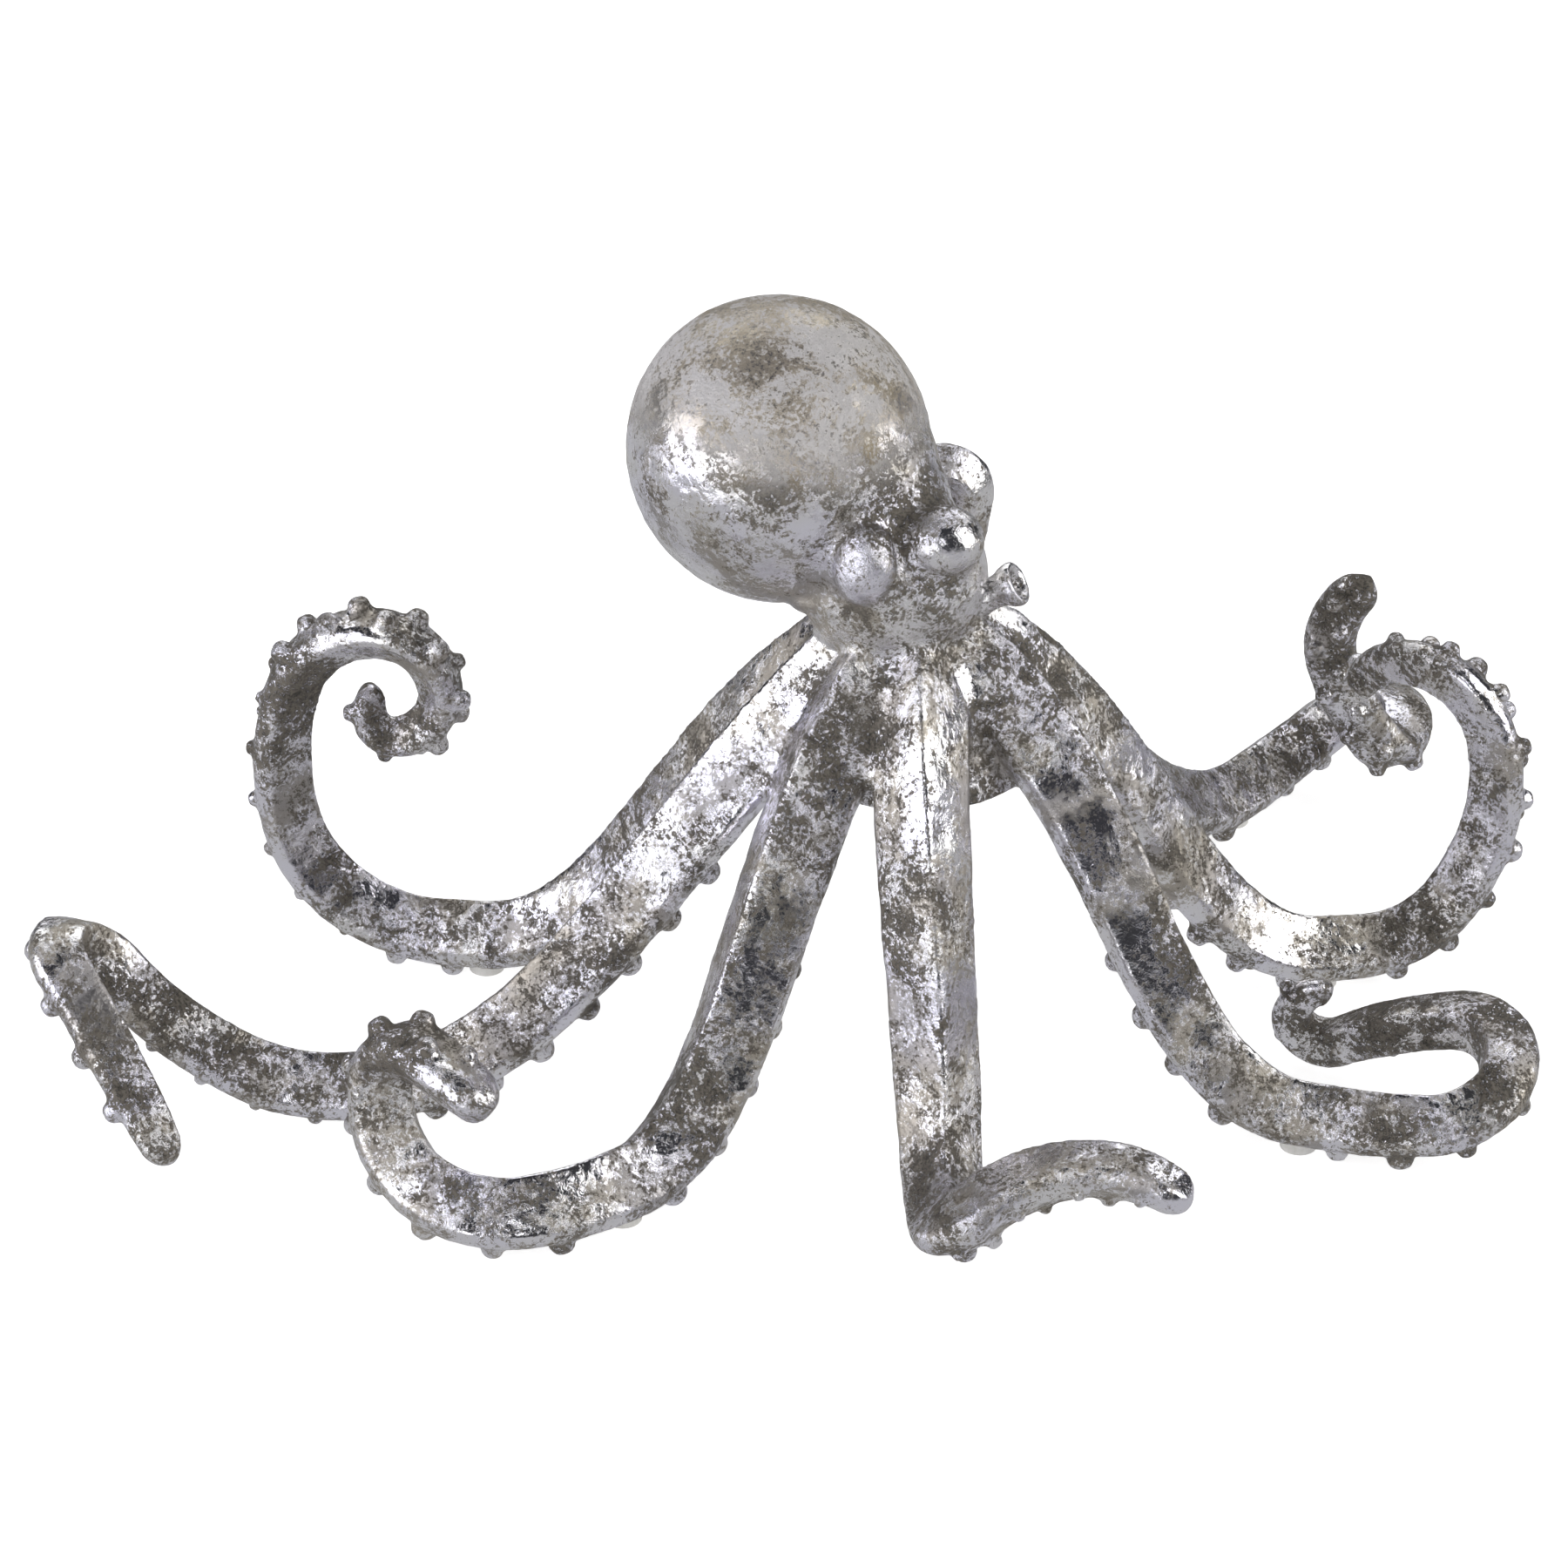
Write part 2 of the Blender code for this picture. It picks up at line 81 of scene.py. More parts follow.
ARMS = {
    "front": dict(
        root=-90, reach=0.076, lands=-86, travel=-88, tip=0.0062,
        arcs=[(0.008, 0, 10), (0.016, 90, 60), (0.012, 0, -20), (0.023, -5, -48)]),
    "front_left": dict(
        root=-133, reach=0.092, lands=-132, travel=-140, tip=0.0068,
        arcs=[(0.022, -25, 0), (0.025, -55, 20), (0.024, 0, 58), (0.010, 0, 18), (0.023, 0, 100),
              (0.014, 0, 5)]),
    "left": dict(
        root=-167, reach=0.122, lands=-165, travel=-178, tip=0.0054,
        arcs=[(0.006, 0, 0), (0.024, 0, 32), (0.038, -2, 24), (0.008, 20, -10), (0.016, 122, 0),
              (0.040, 5, -5)]),
    "back_left": dict(
        root=160, reach=0.100, lands=163, travel=172, tip=0.0042,
        arcs=[(0.008, 0, 0), (0.020, 0, 25), (0.038, 0, 55), (0.012, 0, 10), (0.024, 0, 20), (0.032, 0, 70),
              (0.029, 0, 90), (0.024, 0, 90), (0.013, 0, 84), (0.005, 0, 20)]),
    "back": dict(
        root=86, reach=0.098, lands=88, travel=91, tip=0.0042,
        arcs=[(0.010, 0, 0), (0.030, 0, 88), (0.051, 0, 2), (0.022, -185, 0), (0.022, -8, 0)]),
    "back_right": dict(
        root=50, reach=0.124, lands=50, travel=52, tip=0.0054,
        arcs=[(0.006, 0, 0), (0.030, -20, 26), (0.033, -139, 26), (0.020, 0, 88), (0.022, 10, 5),
              (0.026, 60, 10)]),
    "right": dict(
        root=17, reach=0.096, lands=14, travel=8, tip=0.0048,
        arcs=[(0.007, 0, 0), (0.034, 0, 60), (0.034, 0, 34), (0.018, 15, 26), (0.022, 50, 45),
              (0.020, 40, 40)]),
    "front_right": dict(
        root=-24, reach=0.092, lands=-27, travel=-20, tip=0.0038,
        arcs=[(0.026, 10, 6), (0.014, 25, 22), (0.038, 138, 46), (0.026, 5, -24), (0.016, -50, 85),
              (0.018, -65, 80)]),
}

# Suckers
SUCKER_PITCH = 0.0130         # along one row; the other row stands half a pitch ahead
SUCKER_RADIUS = 0.0012        # of one on an arm of no width
SUCKER_GROWTH = 0.20          # and what an arm's half width adds to it
SUCKER_OFFSET = 0.40          # of a row from the middle of the arm, over the half width
SUCKER_LEAN = 0.20
SUCKERS_START = 0.006         # beyond the joint
FLAT_SUCKER = 0.6             # size of a worn sucker over a full one
# Where the suckers are worn small, as shares of the arm's length
FLAT_SUCKERS = {"left": (0.50, 0.82), "back_left": (0.46, 0.70), "front": (0.72, 1.0)}

# Fineness of the cast surface
ARM_GRAIN = 0.0006
HEAD_GRAIN = 0.0008
SIPHON_GRAIN = 0.0004
ARM_FILL_REACH = 0.0020       # how wide a crease the casting fills
HEAD_FILL_REACH = 0.0045
WRINKLE_SIZE = 520.0
HOLLOW_DEPTH = 0.0003         # depth at which a hollow counts as fully hollow

# Square cuts at the joints: width across and depth along the arm
ARM_CUT = (0.034, 0.016)
STUB_CUT = (0.0215, 0.011)

# The pour hole runs from under the head to past the plug's inner end
HOLE_BOTTOM = ROOT_HEIGHT - 0.030
HOLE_MARGIN = 0.013

# Balls that make the head, above the ring of arms: centre and three radii
LEANING_BALLS = {
    "mantle": ((-0.0290, 0.0150, 0.0465), (0.0320, 0.0318, 0.0325)),
    "mantle_neck": ((-0.0215, 0.0110, 0.0420), (0.0262, 0.0255, 0.0272)),
    "neck": ((-0.0120, 0.0060, 0.0375), (0.0188, 0.0185, 0.0200)),
}
UPRIGHT_BALLS = {
    "head": ((-0.0050, -0.0010, 0.0245), (0.0198, 0.0168, 0.0200)),
    "throat": ((-0.0040, 0.0000, 0.0100), (0.0150, 0.0150, 0.0190)),
    "right_eye": ((-0.0113, -0.0142, 0.0342), (0.0068, 0.0074, 0.0092)),
    "left_eye": ((0.0048, -0.0096, 0.0374), (0.0086, 0.0080, 0.0074)),
    "rim": ((-0.0210, -0.0040, 0.0225), (0.0068, 0.0062, 0.0045)),
}
MANTLE_LEAN = (-38, -18)      # degrees about Y and then about X
WEB_DROP = 0.018              # bottom of the web below the ring of arms
WEB = (0.0265, 0.0160, 0.028)   # bottom radius, top radius and height

# Siphon: radius and height down its outside, over its rim and into its bore
SIPHON_AIM = Vector((0.80, -0.20, 0.50))
SIPHON_BASE = Vector((0.0130, -0.003, ROOT_HEIGHT + 0.0205))
SIPHON_PROFILE = [
    (0.0002, -0.0050), (0.0032, -0.0050), (0.0046, -0.0020), (0.0036, 0.0010), (0.0033, 0.0030),
    (0.0037, 0.0052), (0.0045, 0.0068), (0.0049, 0.0082), (0.0046, 0.0094), (0.0036, 0.0096),
    (0.0027, 0.0085), (0.0019, 0.0060), (0.0002, 0.0052)]
SIPHON_SIDES = 32

# Studio: each soft light's place, size, power and colour
WHITE = (1.0, 1.0, 1.0)
LIGHTS = {
    "back_top": ((0.00, 0.85, 0.85), (1.8, 0.8), 6.4, WHITE),
    "left_box": ((-1.05, -0.50, 0.50), (1.3, 1.2), 11.2, (0.95, 0.95, 1.0)),
    "right_box": ((1.05, -0.25, 0.62), (0.9, 1.2), 8.1, (1.0, 0.99, 0.97)),
    "front_strip": ((-0.45, -1.10, 0.22), (0.35, 0.6), 1.3, WHITE),
    "crest_strip": ((0.06, -1.15, 0.78), (0.20, 0.50), 0.8, WHITE),
}
LIGHTS_AIM = Vector((0.0, 0.0, 0.07))
CAMERA_PLACE = Vector((-0.028, -0.827, 0.5425))
CAMERA_TILT = 60.0
CAMERA_LENS = 102.1


# ---------------------------------------------------------------- node writing

class Field:
    """A node's output that can stand in a Python expression: each operator adds its Math node."""

    def __init__(self, graph, socket):
        self.graph = graph
        self.socket = socket

    def of(self, name):
        """Another output of the same node."""
        return Field(self.graph, self.socket.node.outputs[name])

    def maths(self, operation, *values):
        inputs = dict(enumerate((self,) + values))
        return self.graph.node("ShaderNodeMath", {"operation": operation}, inputs)

    def __add__(self, other):
        return self.maths("ADD", other)

    def __sub__(self, other):
        return self.maths("SUBTRACT", other)

    def __mul__(self, other):
        return self.maths("MULTIPLY", other)

    def __truediv__(self, other):
        return self.maths("DIVIDE", other)

    def __pow__(self, other):
        return self.maths("POWER", other)

    def __rsub__(self, other):
        return self.graph.node("ShaderNodeMath", {"operation": "SUBTRACT"}, {0: other, 1: self})

    def __abs__(self):
        return self.maths("ABSOLUTE")

    __radd__ = __add__
    __rmul__ = __mul__

    def at_least(self, other):
        return self.maths("MAXIMUM", other)

    def at_most(self, other):
        return self.maths("MINIMUM", other)

    def step(self, low, high):
        """Smoothly 0 below low and 1 above high."""
        return self.graph.node("ShaderNodeMapRange", {"interpolation_type": "SMOOTHSTEP"},
                               {"Value": self, "From Min": low, "From Max": high})


class Graph:
    """Adds nodes to one node tree."""

    def __init__(self, tree):
        self.tree = tree

    def node(self, kind, settings=None, inputs=None, out=None):
        """A node of a type, with its settings made first and then its sockets set or linked."""
        made = self.tree.nodes.new(kind)
        for name, value in (settings or {}).items():
            if name == "stops":
                self.set_stops(made.color_ramp, value)
            else:
                setattr(made, name, value)
        sockets = [s for s in made.inputs if s.enabled]
        for key, value in (inputs or {}).items():
            socket = made.inputs[key] if isinstance(key, int) else next(s for s in sockets if s.name == key)
            if isinstance(value, Field):
                self.tree.links.new(value.socket, socket)
            else:
                socket.default_value = value
        outputs = [s for s in made.outputs if s.enabled]
        if not outputs:
            return made
        return Field(self, next(s for s in outputs if s.name == out) if out else outputs[0])

    @staticmethod
    def set_stops(ramp, stops):
        while len(ramp.elements) > 1:
            ramp.elements.remove(ramp.elements[-1])
        ramp.elements[0].position, ramp.elements[0].color = stops[0]
        for position, colour in stops[1:]:
            ramp.elements.new(position).color = colour

    def vector(self, operation, *values, out=None):
        return self.node("ShaderNodeVectorMath", {"operation": operation}, dict(enumerate(values)), out)

    def stretch(self, vector, amount):
        """A vector times a number or a field."""
        return self.node("ShaderNodeVectorMath", {"operation": "SCALE"},
                         {"Vector": vector, "Scale": amount})

    def noise(self, vector, scale, detail=2.0, roughness=0.5, distortion=0.0, shift=0.0):
        """Noise of about 0.2 to 0.8, with shift choosing another stretch of it."""
        return self.node("ShaderNodeTexNoise", {"noise_dimensions": "4D"},
                         {"Vector": vector, "W": shift, "Scale": scale, "Detail": detail,
                          "Roughness": roughness, "Distortion": distortion})

    def blend(self, share, first, second):
        """From the first colour to the second."""
        return self.node("ShaderNodeMix", {"data_type": "RGBA"}, {"Factor": share, "A": first, "B": second})


def shape_tree(name, inputs):
    """A Geometry Nodes tree with a Geometry input, the named inputs and a Geometry output."""
    tree = bpy.data.node_groups.new(name, "GeometryNodeTree")
    tree.interface.new_socket("Geometry", in_out="INPUT", socket_type="NodeSocketGeometry")
    for title, kind in inputs:
        tree.interface.new_socket(title, in_out="INPUT", socket_type="NodeSocket" + kind)
    tree.interface.new_socket("Geometry", in_out="OUTPUT", socket_type="NodeSocketGeometry")
    graph = Graph(tree)
    return tree, graph, graph.node("NodeGroupInput")


def close_tree(graph, geometry, skin):
    """Realize Instances and Set Material, which end every tree."""
    real = graph.node("GeometryNodeRealizeInstances", {}, {"Geometry": geometry})
    finished = graph.node("GeometryNodeSetMaterial", {}, {"Geometry": real, "Material": skin})
    output = graph.tree.nodes.new("NodeGroupOutput")
    graph.tree.links.new(finished.socket, output.inputs[0])


def run_tree(obj, tree, **values):
    """Put an object through a tree and keep the result as its plain mesh."""
    modifier = obj.modifiers.new(tree.name, "NODES")
    modifier.node_group = tree
    for item in tree.interface.items_tree:
        wanted = item.name.lower().replace(" ", "_")
        if item.in_out == "INPUT" and wanted in values:
            modifier[item.identifier] = values[wanted]
    return keep_result(obj)


def keep_result(obj):
    """Turn an object's evaluated shape into its plain mesh, and drop its modifiers."""
    depsgraph = bpy.context.evaluated_depsgraph_get()
    made = bpy.data.meshes.new_from_object(obj.evaluated_get(depsgraph))
    old = obj.data
    obj.modifiers.clear()
    obj.data = made
    bpy.data.meshes.remove(old)
    return obj


# ---------------------------------------------------------------- the arm rule

def bearing(degrees):
    angle = math.radians(degrees)
    return Vector((math.cos(angle), math.sin(angle), 0.0))


def falling_curve(arm):
    """Frames of the line under an arm, from the head down to the table."""
    leaving = bearing(arm["root"])
    travel = bearing(arm["travel"])
    start = leaving * ROOT_REACH + Vector((0.0, 0.0, ROOT_HEIGHT))
    end = bearing(arm["lands"]) * arm["reach"] + Vector((0.0, 0.0, REST_HEIGHT))
    span = (end - start).length
    dip = math.radians(ROOT_DIP)
    drop = leaving * math.cos(dip) - Vector((0.0, 0.0, math.sin(dip)))
    a = start + drop * FALL_START * span
    b = end - travel * FALL_END * span
    steps = round(span / 0.001)
    frames = []
    for i in range(steps):
        t = i / steps
        s = 1.0 - t
        point = start * s**3 + a * (3 * s * s * t) + b * (3 * s * t * t) + end * t**3
        forward = ((a - start) * (s * s) + (b - a) * (2 * s * t) + (end - b) * (t * t)).normalized()
        side = Vector((0.0, 0.0, 1.0)).cross(forward).normalized()
        frames.append((point, forward, forward.cross(side)))
    return frames


def arm_frames(arm):
    """Point, forward and up at about every millimetre, and the number of the frame where it lands."""
    frames = falling_curve(arm)
    landing = len(frames)
    point = bearing(arm["lands"]) * arm["reach"] + Vector((0.0, 0.0, REST_HEIGHT))
    forward = bearing(arm["travel"])
    up = Vector((0.0, 0.0, 1.0))
    frames.append((point, forward, up))
    for length, left, rise in arm["arcs"]:
        steps = round(length / 0.001)
        for _ in range(steps):
            turn = Matrix.Rotation(math.radians(left) / steps, 3, up)
            side = turn @ up.cross(forward)
            rear = Matrix.Rotation(-math.radians(rise) / steps, 3, side)
            ahead = (rear @ (turn @ forward)).normalized()
            up = (rear @ up).normalized()
            point = point + (forward + ahead).normalized() * (length / steps)
            forward = ahead
            frames.append((point, forward, up))
    return frames, landing


def lengths_along(frames):
    total = 0.0
    lengths = [total]
    for before, after in zip(frames, frames[1:]):
        total += (after[0] - before[0]).length
        lengths.append(total)
    return lengths


def half_width(arm, share):
    return arm["tip"] + (ROOT_HALF_WIDTH - arm["tip"]) * (1.0 - share) ** TAPER


def joint_number(frames):
    """Number of the frame where an arm meets its stub."""
    return next(i for i, f in enumerate(frames) if math.hypot(f[0].x, f[0].y) >= JOINT_REACH)


def facing(origin, forward, up):
    """Matrix whose local Z runs along forward and whose local Y lies on the side of up."""
    z = forward.normalized()
    x = up.cross(z).normalized()
    return Matrix.Translation(origin) @ Matrix((x, z.cross(x), z)).transposed().to_4x4()


class Arm:
    """One arm's line, its lengths and its joint, in the shared frame."""

    def __init__(self, name, plan):
        self.name = name
        self.plan = plan
        frames, self.landing = arm_frames(plan)
        self.frames = [(point + AXIS, forward, up) for point, forward, up in frames]
        self.lengths = lengths_along(frames)
        self.joint = joint_number(frames)

    def width(self, number):
        return half_width(self.plan, self.lengths[number] / self.lengths[-1])

    def spine(self, start, end):
        """Points of the section's widest line, with the way of the crest and the half width."""
        points = []
        for number in range(start, end):
            point, _forward, up = self.frames[number]
            width = self.width(number)
            points.append((point + up * (BELLY * width), up, width))
        return points

    def rounded_tip(self):
        """The spine goes on past the last frame, shrinking to a round end."""
        point, forward, up = self.frames[-1]
        width = self.plan["tip"]
        middle = point + up * (BELLY * width)
        ends = []
        for i in range(1, TIP_STEPS + 1):
            share = math.sin(0.5 * math.pi * i / TIP_STEPS)
            narrow = max(TIP_LEAST, math.sqrt(1 - share**2))
            ends.append((middle + forward * (width * share), up, width * narrow))
        return ends

    def lead_in(self):
        """The stub runs back into the head, bending up and getting slimmer."""
        point, forward, up = self.frames[0]
        width = self.width(0)
        side = up.cross(forward)
        back = []
        for i in range(1, LEAD_STEPS + 1):
            bend = Matrix.Rotation(math.radians(LEAD_BEND) / LEAD_STEPS, 3, side)
            forward = bend @ forward
            up = bend @ up
            point = point - forward * (LEAD_IN / LEAD_STEPS)
            slim = width * (1.0 - LEAD_SLIMMING * i / LEAD_STEPS)
            back.insert(0, (point + up * (BELLY * slim), up, slim))
        return back

    def joint_place(self):
        point, forward, up = self.frames[self.joint]
        return facing(point + up * (THICKNESS * self.width(self.joint) / 2), forward, up)


# ---------------------------------------------------------------- shapes

def new_piece(name, shape):
    """A named object from a bmesh."""
    mesh = bpy.data.meshes.new(name)
    shape.to_mesh(mesh)
    shape.free()
    piece = bpy.data.objects.new(name, mesh)
    bpy.context.scene.collection.objects.link(piece)
    return piece


def mark_points(mesh, way, size, points):
    """Each vertex keeps its direction and its size."""
    mesh.attributes.new(way, "FLOAT_VECTOR", "POINT")
    mesh.attributes.new(size, "FLOAT", "POINT")
    for i, (_place, direction, amount) in enumerate(points):
        mesh.attributes[way].data[i].vector = direction
        mesh.attributes[size].data[i].value = amount


def spine_object(name, points):
    """A line of vertices that carries the way of the crest and the half width."""
    mesh = bpy.data.meshes.new(name)
    mesh.from_pydata([p[0] for p in points], [(i, i + 1) for i in range(len(points) - 1)], [])
    mark_points(mesh, "crest_way", "half_width", points)
    line = bpy.data.objects.new(name, mesh)
    bpy.context.scene.collection.objects.link(line)
    return line


def keeled_arm_tree():
    """Sweeps a keeled section along a spine: a crested roof above its widest line, a flat belly below."""
    tree, graph, given = shape_tree("keeled_arm", [
        ("Sides", "Int"), ("Crest Height", "Float"), ("Crest Edge", "Float"), ("Belly Depth", "Float"),
        ("Lump Size", "Float"), ("Lump Height", "Float"), ("Skin", "Material")])
    line = graph.node("GeometryNodeMeshToCurve", {}, {"Mesh": given.of("Geometry")})
    way = graph.node("GeometryNodeInputNamedAttribute", {"data_type": "FLOAT_VECTOR"},
                     {"Name": "crest_way"})
    line = graph.node("GeometryNodeSetCurveNormal", {"mode": "FREE"}, {"Curve": line, "Normal": way})
    wide = graph.node("GeometryNodeInputNamedAttribute", {"data_type": "FLOAT"}, {"Name": "half_width"})

    circle = graph.node("GeometryNodeCurvePrimitiveCircle", {},
                        {"Resolution": given.of("Sides"), "Radius": 1.0})
    place = graph.node("GeometryNodeInputPosition")
    parts = graph.node("ShaderNodeSeparateXYZ", {}, {"Vector": place})
    across = parts.of("Y")
    up = parts.of("X")
    out = abs(across).at_most(1.0)
    roof = given.of("Crest Height") * (1.0 - out ** given.of("Crest Edge"))
    floor = given.of("Belly Depth") * (1.0 - out ** 4.0).at_least(0.0) ** 0.5
    above = up.maths("GREATER_THAN", 0.0)
    lift = roof * above - floor * (1.0 - above)
    spot = graph.node("ShaderNodeCombineXYZ", {}, {"X": lift, "Y": across, "Z": 0.0})
    section = graph.node("GeometryNodeSetPosition", {}, {"Geometry": circle, "Position": spot})

    swept = graph.node("GeometryNodeCurveToMesh", {},
                       {"Curve": line, "Profile Curve": section, "Scale": wide, "Fill Caps": True})
    place = graph.node("GeometryNodeInputPosition")
    lumps = graph.noise(place, given.of("Lump Size"), 2.0) - 0.5
    normal = graph.node("GeometryNodeInputNormal")
    push = graph.stretch(normal, lumps * given.of("Lump Height"))
    swept = graph.node("GeometryNodeSetPosition", {}, {"Geometry": swept, "Offset": push})
    close_tree(graph, swept, given.of("Skin"))
    return tree


def sucker_rows_tree():
    """Stands a dimpled knob on every point, aimed by the point and a little different each time."""
    tree, graph, given = shape_tree("sucker_rows", [
        ("Height", "Float"), ("Rim", "Float"), ("Dimple", "Float"), ("Spread", "Float"),
        ("Lean", "Float"), ("Seed", "Int"), ("Skin", "Material")])
    ball = graph.node("GeometryNodeMeshUVSphere", {}, {"Segments": 12, "Rings": 8, "Radius": 1.0})
    place = graph.node("GeometryNodeInputPosition")
    parts = graph.node("ShaderNodeSeparateXYZ", {}, {"Vector": place})
    x, y, z = parts.of("X"), parts.of("Y"), parts.of("Z")
    upward = z * 0.5 + 0.5
    narrow = 1.0 - upward * (1.0 - given.of("Rim"))
    from_axis = (x * x + y * y) ** 0.5
    hollow = (1.0 - (from_axis / 0.55).at_most(1.0)) * z.maths("GREATER_THAN", 0.2)
    full = 1.0 + upward * 0.25
    spot = graph.node("ShaderNodeCombineXYZ", {}, {
        "X": x * narrow * full, "Y": y * narrow * full,
        "Z": z * given.of("Height") - hollow * given.of("Dimple")})
    knob = graph.node("GeometryNodeSetPosition", {}, {"Geometry": ball, "Position": spot})

    aim = graph.node("GeometryNodeInputNamedAttribute", {"data_type": "FLOAT_VECTOR"}, {"Name": "aim"})
    size = graph.node("GeometryNodeInputNamedAttribute", {"data_type": "FLOAT"}, {"Name": "size"})
    sway = graph.node("FunctionNodeRandomValue", {"data_type": "FLOAT_VECTOR"}, {
        "Min": (-1.0, -1.0, -1.0), "Max": (1.0, 1.0, 1.0), "Seed": given.of("Seed")})
    aimed = graph.vector("ADD", aim, graph.stretch(sway, given.of("Lean")))
    turn = graph.node("FunctionNodeAlignRotationToVector", {"axis": "Z"}, {"Vector": aimed})
    change = graph.node("FunctionNodeRandomValue", {"data_type": "FLOAT"}, {
        "Min": 1.0 - given.of("Spread"), "Max": 1.0 + given.of("Spread"), "Seed": given.of("Seed") + 1.0})
    stood = graph.node("GeometryNodeInstanceOnPoints", {}, {
        "Points": given.of("Geometry"), "Instance": knob, "Rotation": turn, "Scale": size * change})
    close_tree(graph, stood, given.of("Skin"))
    return tree


def cast_skin_tree():
    """Finishes a fused casting: fills its creases, ripples its surface and notes where it is hollow."""
    tree, graph, given = shape_tree("cast_skin", [
        ("Fill Reach", "Int"), ("Fill", "Float"), ("Ripple Size", "Float"), ("Ripple Height", "Float"),
        ("Wrinkle Size", "Float"), ("Wrinkle Height", "Float"), ("Hollow Depth", "Float"),
        ("Skin", "Material")])
    shape = given.of("Geometry")
    place = graph.node("GeometryNodeInputPosition")
    normal = graph.node("GeometryNodeInputNormal")
    blurred = graph.node("GeometryNodeBlurAttribute", {"data_type": "FLOAT_VECTOR"},
                         {"Value": place, "Iterations": given.of("Fill Reach")})
    crease = graph.vector("DOT_PRODUCT", graph.vector("SUBTRACT", blurred, place), normal, out="Value")
    filled = graph.stretch(normal, crease.at_least(0.0) * given.of("Fill"))
    shape = graph.node("GeometryNodeSetPosition", {}, {"Geometry": shape, "Offset": filled})

    ripples = graph.noise(place, given.of("Ripple Size"), 3.0, 0.55) - 0.5
    wrinkles = graph.noise(place, given.of("Wrinkle Size"), 3.0, 0.6, 0.4) - 0.5
    push = ripples * given.of("Ripple Height") + wrinkles * given.of("Wrinkle Height")
    shape = graph.node("GeometryNodeSetPosition", {}, {
        "Geometry": shape, "Offset": graph.stretch(normal, push)})

    wide = graph.node("GeometryNodeBlurAttribute", {"data_type": "FLOAT_VECTOR"},
                      {"Value": place, "Iterations": 14})
    depth = graph.vector("DOT_PRODUCT", graph.vector("SUBTRACT", wide, place), normal, out="Value")
    soft = graph.node("GeometryNodeBlurAttribute", {"data_type": "FLOAT"},
                      {"Value": depth / given.of("Hollow Depth"), "Iterations": 2})
    shape = graph.node("GeometryNodeStoreNamedAttribute", {"data_type": "FLOAT", "domain": "POINT"}, {
        "Geometry": shape, "Name": "hollow", "Value": soft})
    close_tree(graph, shape, given.of("Skin"))
    return tree


def blur_rounds(reach, grain):
    """How many times an attribute is blurred for a reach over faces of a given size."""
    return round((reach / grain) ** 2)


def sucker_points(arm):
    """Where an arm's suckers stand, how they aim and how big they are, with none over the pad."""
    spots = []
    wanted = arm.lengths[arm.joint] + SUCKERS_START
    hand = 1.0
    low, high = FLAT_SUCKERS.get(arm.name, (1.0, 1.0))
    while wanted < arm.lengths[-1]:
        number = min(range(len(arm.lengths)), key=lambda k: abs(arm.lengths[k] - wanted))
        point, forward, up = arm.frames[number]
        width = arm.width(number)
        radius = SUCKER_RADIUS + SUCKER_GROWTH * width
        if low < arm.lengths[number] / arm.lengths[-1] < high:
            radius *= FLAT_SUCKER
        side = up.cross(forward) * hand
        base = point + side * (SUCKER_OFFSET * width)
        aim = (side * SUCKER_LEAN - up).normalized()
        if abs(arm.lengths[number] - arm.lengths[arm.landing]) > PAD_RADIUS + radius:
            spots.append((base, aim, radius))
        hand = -hand
        wanted += SUCKER_PITCH / 2
    return spots


def points_object(name, spots):
    mesh = bpy.data.meshes.new(name)
    mesh.from_pydata([s[0] for s in spots], [], [])
    mark_points(mesh, "aim", "size", spots)
    points = bpy.data.objects.new(name, mesh)
    bpy.context.scene.collection.objects.link(points)
    return points


def swept(name, points):
    line = spine_object(name, points)
    return run_tree(line, KEELED_ARM, sides=40, crest_height=1.02, crest_edge=1.12, belly_depth=BELLY,
                    lump_size=55.0, lump_height=0.0011, skin=LEAF)


def merge(name, pieces):
    """Join pieces into one object of overlapping shells."""
    shape = bmesh.new()
    for piece in pieces:
        shape.from_mesh(piece.data)
        mesh = piece.data
        bpy.data.objects.remove(piece)
        bpy.data.meshes.remove(mesh)
    return new_piece(name, shape)


def fuse(obj, grain, rounds):
    """Fuse overlapping shells into one skin and smooth it."""
    remesh = obj.modifiers.new("fuse", "REMESH")
    remesh.mode = "VOXEL"
    remesh.voxel_size = grain
    smooth = obj.modifiers.new("smooth", "SMOOTH")
    smooth.factor = 0.5
    smooth.iterations = rounds
    return keep_result(obj)


def cut_away(obj, shape):
    """Take a closed shape away from a fused skin."""
    cutter = new_piece("cutter", shape)
    modifier = obj.modifiers.new("cut", "BOOLEAN")
    modifier.operation = "DIFFERENCE"
    modifier.solver = "MANIFOLD"
    modifier.object = cutter
    keep_result(obj)
    mesh = cutter.data
    bpy.data.objects.remove(cutter)
    bpy.data.meshes.remove(mesh)


def finish_mesh(obj):
    """Smooth shading with crisp joint faces."""
    obj.data.shade_smooth()
    obj.data.set_sharp_from_angle(angle=math.radians(60))


def add_ball(shape, centre, radii, tilt=Matrix.Identity(4), sides=48):
    scaled = Matrix.Translation(centre + AXIS) @ tilt @ Matrix.Diagonal((*radii, 1.0))
    bmesh.ops.create_uvsphere(shape, u_segments=sides, v_segments=sides // 2, radius=1.0, matrix=scaled)


def add_cone(shape, radius, end_radius, length, placed, sides=48):
    middle = Matrix.Translation((0.0, 0.0, length / 2))
    bmesh.ops.create_cone(shape, cap_ends=True, segments=sides, radius1=radius, radius2=end_radius,
                          depth=length, matrix=placed @ middle)


